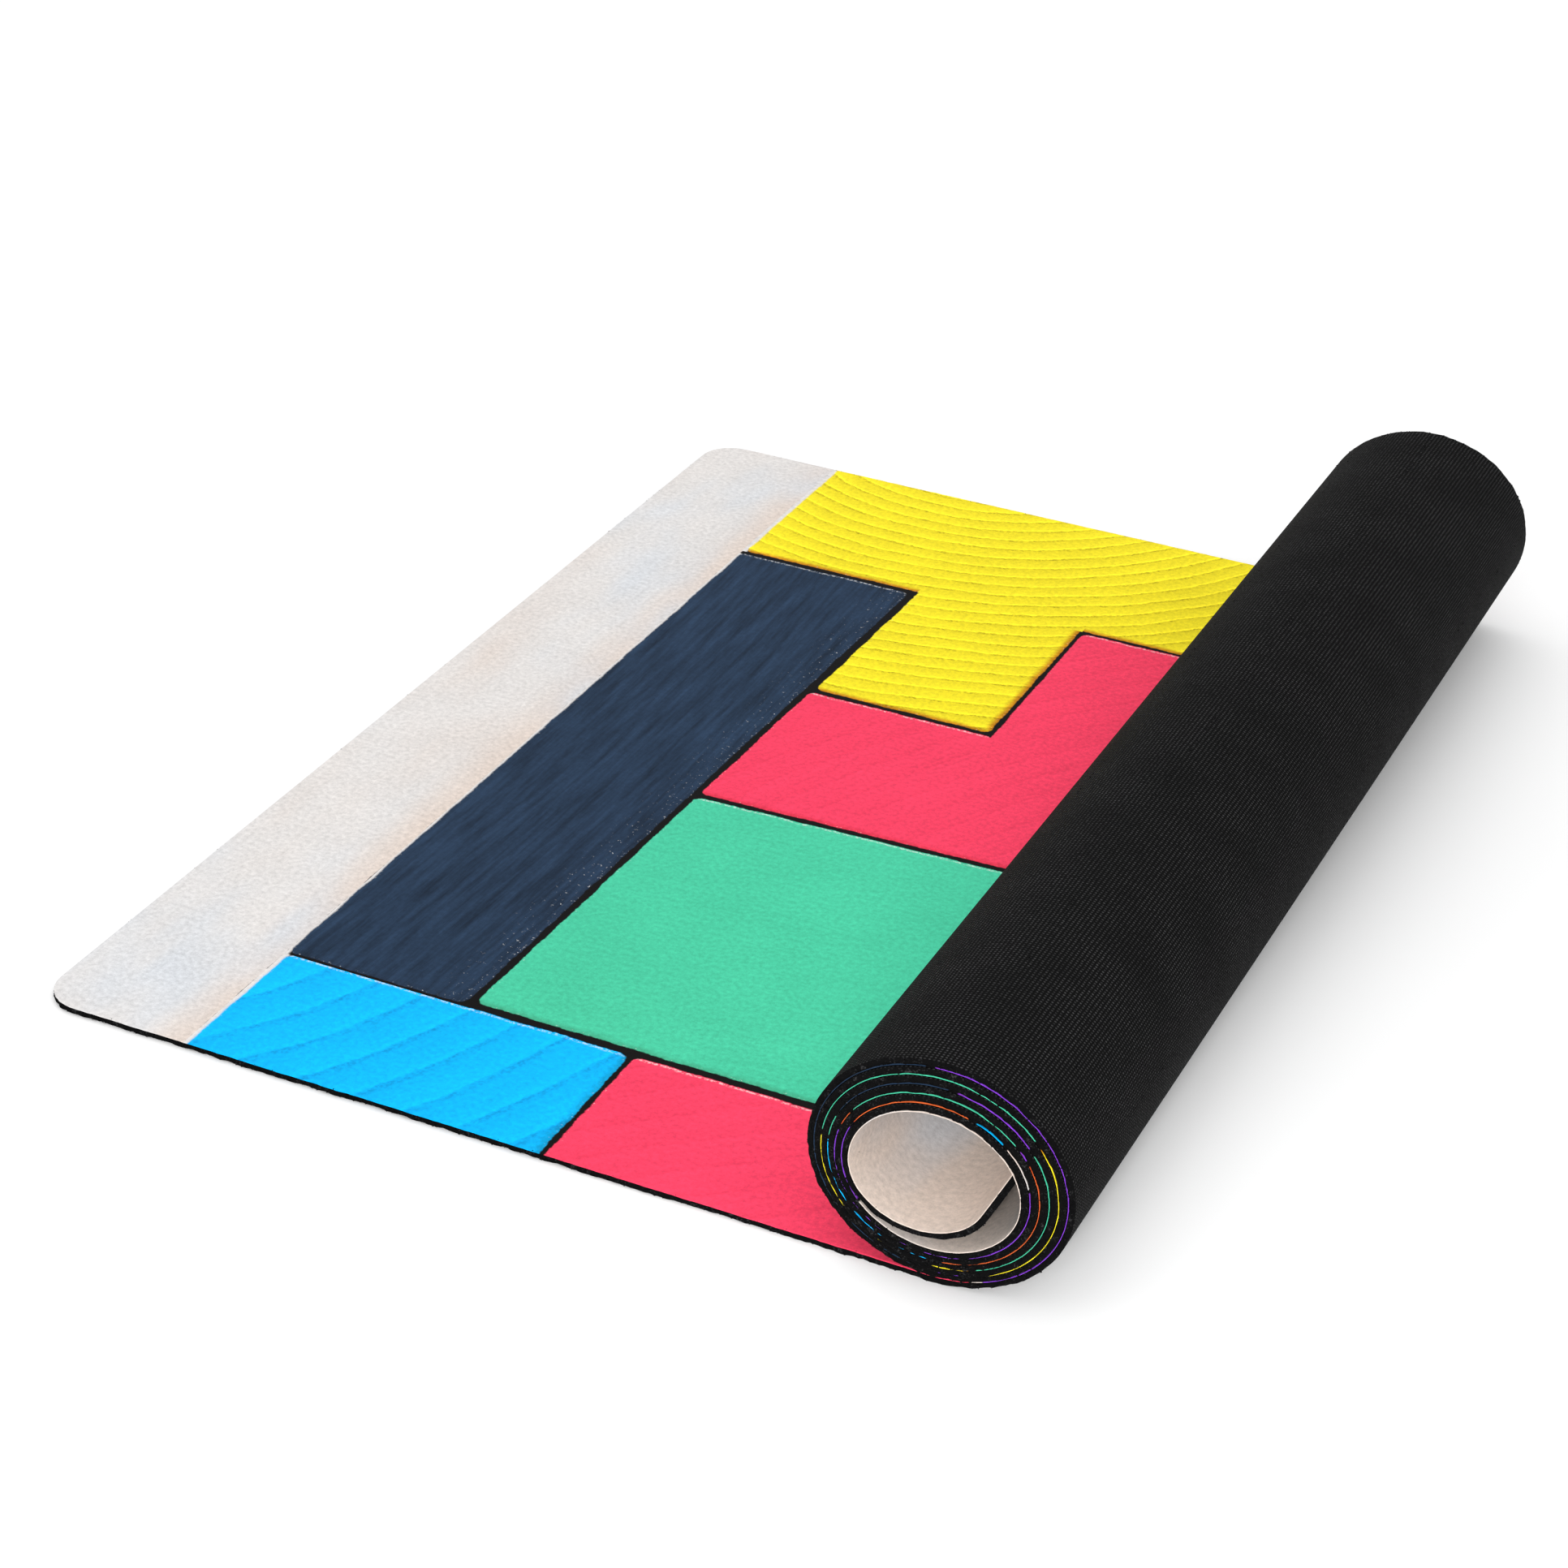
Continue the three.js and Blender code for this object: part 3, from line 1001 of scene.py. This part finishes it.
    nap = wire.group(nap_group(), {"Place": place, "Fibre": 1.5, "Patchiness": 0.95})
    inputs = {
        "Base Color": wire.tint(coat, wire.grey(nap["Tone"])),
        "Roughness": prints.roughness,
        "Specular IOR Level": 0.06,
        "Sheen Weight": prints.sheen,
        "Sheen Roughness": 0.45,
        "Normal": wire.bump(0.55, prints.nap, nap["Height"]),
    }
    wire.fill(shader, inputs)
    return material


def floor_material(colour):
    material, wire, shader = new_material("Studio Floor")
    place = wire.add("ShaderNodeTexCoord").outputs["Object"]
    faint = wire.ramp(wire.noise(place, 3.0), 0.3, 0.7, 0.985, 1.0)
    colour = wire.tint(solid(colour), wire.grey(faint))
    wire.fill(shader, {"Base Color": colour, "Roughness": 0.9, "Specular IOR Level": 0.1})
    return material


# ---------------------------------------------------------------- making the pieces

# For each layer: how far apart its stations are, and its word in the CAD nodes' names.
LAYERS = {"rubber": (0.0016, "rubber"), "print": (0.0022, "fabric")}
FLAT_SEED = 1
FOLD_SEED = 10
ROLL_SEED = 40
LOOSE_SEED = 50
ROLL_LENGTHS = 4


def fold_span(shape, number):
    """The turning at which the mat starts and stops following a fold."""
    first = max(0.0, (number - 1.5) * shape.strip)
    return first, (number - 0.5) * shape.strip


def row_point(shape, angle):
    """The print side's place at an angle of turning, in the row frame."""
    x, z = roll_point(shape, angle, shape.base + shape.face)
    return (x + LEFT_END, 0.0, z)


def node_of(body, layer):
    """The CAD node of a body that holds one layer of the mat."""
    members = frame["record"]["behaviour"]["bodies"][body]
    return next(node for node in members if node.endswith(LAYERS[layer][1]))


def one_length(name, layer, shape, stations, seed):
    if layer == "rubber":
        return rubber_piece(f"{name}_rubber", shape, stations, seed)
    return print_piece(f"{name}_print", shape, stations)


def make_flat(shape, layer):
    stations = flat_stations(shape, LAYERS[layer][0])
    piece = one_length("flat_section", layer, shape, stations, FLAT_SEED)
    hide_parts(node_of("flat_section", layer))
    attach(piece, "flat_section")
    return {"FINISHED"}


def make_folds(shape, layer):
    for number, joint in enumerate(JOINTS, 1):
        name = f"fold_{number:02d}"
        first, last = fold_span(shape, number)
        stations = rolled_stations(shape, first, last, LAYERS[layer][0])
        piece = one_length(name, layer, shape, stations, FOLD_SEED + number)
        if number < len(JOINTS):
            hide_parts(node_of(joint["child"], layer))
        ends = row_point(shape, first), row_point(shape, last)
        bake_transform(piece)
    return {"FINISHED"}


def make_roll(shape, layer):
    """The lengths of the roll that stays rolled, a turn and a bit each, and the loose end."""
    spacing = LAYERS[layer][0]
    body = JOINTS[-1]["child"]
    start = fold_span(shape, len(JOINTS))[1]
    loose = loose_start(shape)
    cuts = [start + (loose - start) * part / ROLL_LENGTHS for part in range(ROLL_LENGTHS + 1)]
    for number, (first, last) in enumerate(zip(cuts[:-1], cuts[1:]), 1):
        stations = rolled_stations(shape, first, last, spacing)
        piece = one_length(f"roll_{number}", layer, shape, stations, ROLL_SEED + number)
        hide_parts(node_of(body, layer))
        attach(piece, body)
    stations = rolled_stations(shape, loose, curl_end(shape), spacing) + tail_stations(shape)
    piece = one_length("loose_end", layer, shape, stations, LOOSE_SEED)
    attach(piece, body)
    return {"FINISHED"}


class MATROLL_OT_flat_rubber(bpy.types.Operator):
    """Make the flat length of the rubber base"""

    bl_idname = "matroll.flat_rubber"
    bl_label = "Flat Rubber"

    def execute(self, context):
        return make_flat(context.scene.mat_shape, "rubber")


class MATROLL_OT_flat_print(bpy.types.Operator):
    """Make the flat length of the printed face"""

    bl_idname = "matroll.flat_print"
    bl_label = "Flat Print"

    def execute(self, context):
        return make_flat(context.scene.mat_shape, "print")


class MATROLL_OT_fold_rubber(bpy.types.Operator):
    """Make the lengths of rubber at the roll's folds"""

    bl_idname = "matroll.fold_rubber"
    bl_label = "Folding Rubber"

    def execute(self, context):
        return make_folds(context.scene.mat_shape, "rubber")


class MATROLL_OT_fold_print(bpy.types.Operator):
    """Make the lengths of printed face at the roll's folds"""

    bl_idname = "matroll.fold_print"
    bl_label = "Folding Print"

    def execute(self, context):
        return make_folds(context.scene.mat_shape, "print")


class MATROLL_OT_roll_rubber(bpy.types.Operator):
    """Make the rubber of the rest of the roll, down to its loose end"""

    bl_idname = "matroll.roll_rubber"
    bl_label = "Rolled Rubber"

    def execute(self, context):
        return make_roll(context.scene.mat_shape, "rubber")


class MATROLL_OT_roll_print(bpy.types.Operator):
    """Make the printed face of the rest of the roll, down to its loose end"""

    bl_idname = "matroll.roll_print"
    bl_label = "Rolled Print"

    def execute(self, context):
        return make_roll(context.scene.mat_shape, "print")


FLOOR_REACH = 6.0
FLOOR_SQUARES = 8
FLOOR_DROP = 0.0001

# Each light: its size, where it stands and the point that it is aimed at, in metres.
KEY_LIGHT = (1.8, (-0.55, 0.35, 2.1), (0.05, 0.0, 0.0))
FRONT_LIGHT = (0.7, (0.42, -1.75, 0.78), (0.16, -0.25, 0.05))
HOLLOW_LIGHT = (0.12, (0.33, -1.25, 0.50), (0.158, -0.31, 0.050))
HOLLOW_BEAM = math.radians(9)


class MATROLL_OT_stage(bpy.types.Operator):
    """Make the floor, the lights and the camera"""

    bl_idname = "matroll.stage"
    bl_label = "Stage"

    def execute(self, context):
        stage = context.scene.mat_stage
        context.scene.view_settings.view_transform = "Standard"
        floor_mesh = bpy.data.meshes.new("studio_floor")
        form = bmesh.new()
        squares = {"x_segments": FLOOR_SQUARES, "y_segments": FLOOR_SQUARES}
        bmesh.ops.create_grid(form, **squares, size=FLOOR_REACH)
        form.to_mesh(floor_mesh)
        form.free()
        floor_mesh.materials.append(floor_material(stage.floor))
        floor = placed("studio_floor", floor_mesh)
        floor_mesh.transform(Matrix.Translation((0.0, 0.0, -FLOOR_DROP)))
        make_lights(context, stage)
        make_camera(context, stage)
        return {"FINISHED"}


def make_lights(context, stage):
    world = context.scene.world or bpy.data.worlds.new("Studio")
    context.scene.world = world
    world.use_nodes = True
    backdrop = world.node_tree.nodes["Background"]
    backdrop.inputs["Color"].default_value = (1.0, 1.0, 1.0, 1.0)
    backdrop.inputs["Strength"].default_value = stage.sky
    for name, power, (size, at, aim) in (
        ("key_light", stage.key, KEY_LIGHT),
        ("front_light", stage.front, FRONT_LIGHT),
    ):
        lamp = bpy.data.lights.new(name, "AREA")
        lamp.energy = power
        lamp.size = size
        lamp.shape = "DISK"
        aim_light(placed(name, lamp), at, aim)
    size, at, aim = HOLLOW_LIGHT
    beam = bpy.data.lights.new("hollow_light", "SPOT")
    beam.energy = stage.hollow
    beam.spot_size = HOLLOW_BEAM
    beam.spot_blend = 1.0
    beam.shadow_soft_size = size
    aim_light(placed("hollow_light", beam), at, aim)


def aim_light(light, at, aim):
    light.location = at
    light.rotation_euler = (Vector(aim) - Vector(at)).to_track_quat("-Z", "Y").to_euler()


def make_camera(context, stage):
    lens = bpy.data.cameras.new("camera")
    lens.lens = stage.lens
    lens.sensor_width = 36.0
    lens.clip_start = 0.01
    lens.clip_end = 50.0
    camera = placed("camera", lens)
    place, aim = Vector(stage.camera), Vector(stage.aim)
    ahead = (aim - place).normalized()
    level = ahead.cross(Vector((0.0, 0.0, 1.0))).normalized()
    upright = level.cross(ahead)
    right = level * math.cos(stage.tilt) + upright * math.sin(stage.tilt)
    up = upright * math.cos(stage.tilt) - level * math.sin(stage.tilt)
    turned = Matrix((right, up, -ahead)).transposed().to_4x4()
    camera.matrix_world = Matrix.Translation(place) @ turned
    context.scene.camera = camera


class MATROLL_PT_panel(bpy.types.Panel):
    """Lists the mat's sizes, finishes and steps"""

    bl_idname = "MATROLL_PT_panel"
    bl_label = "Floor Mat"
    bl_space_type = "VIEW_3D"
    bl_region_type = "UI"
    bl_category = "Floor Mat"

    def draw(self, context):
        scene = context.scene
        for group_name, kind in GROUPS.items():
            column = self.layout.column(heading=group_name.split("_")[1].title())
            for name in kind.__annotations__:
                column.prop(getattr(scene, group_name), name)
        for operator in STEPS:
            self.layout.operator(operator.bl_idname)


STEPS = (
    MATROLL_OT_stage,
    MATROLL_OT_flat_rubber,
    MATROLL_OT_flat_print,
    MATROLL_OT_fold_rubber,
    MATROLL_OT_fold_print,
    MATROLL_OT_roll_rubber,
    MATROLL_OT_roll_print,
)
GROUPS = {
    "mat_shape": MatShape,
    "mat_rubber": MatRubber,
    "mat_print": MatPrint,
    "mat_stage": MatStage,
}
CLASSES = (*GROUPS.values(), *STEPS, MATROLL_PT_panel)


def register():
    for made in CLASSES:
        bpy.utils.register_class(made)
    for name, group in GROUPS.items():
        setattr(bpy.types.Scene, name, bpy.props.PointerProperty(type=group))


def unregister():
    for name in GROUPS:
        delattr(bpy.types.Scene, name)
    for made in reversed(CLASSES):
        bpy.utils.unregister_class(made)


def main():
    register()
    for operator in STEPS:
        group, name = operator.bl_idname.split(".")
        getattr(getattr(bpy.ops, group), name)()


if __name__ == "__main__":
    main()
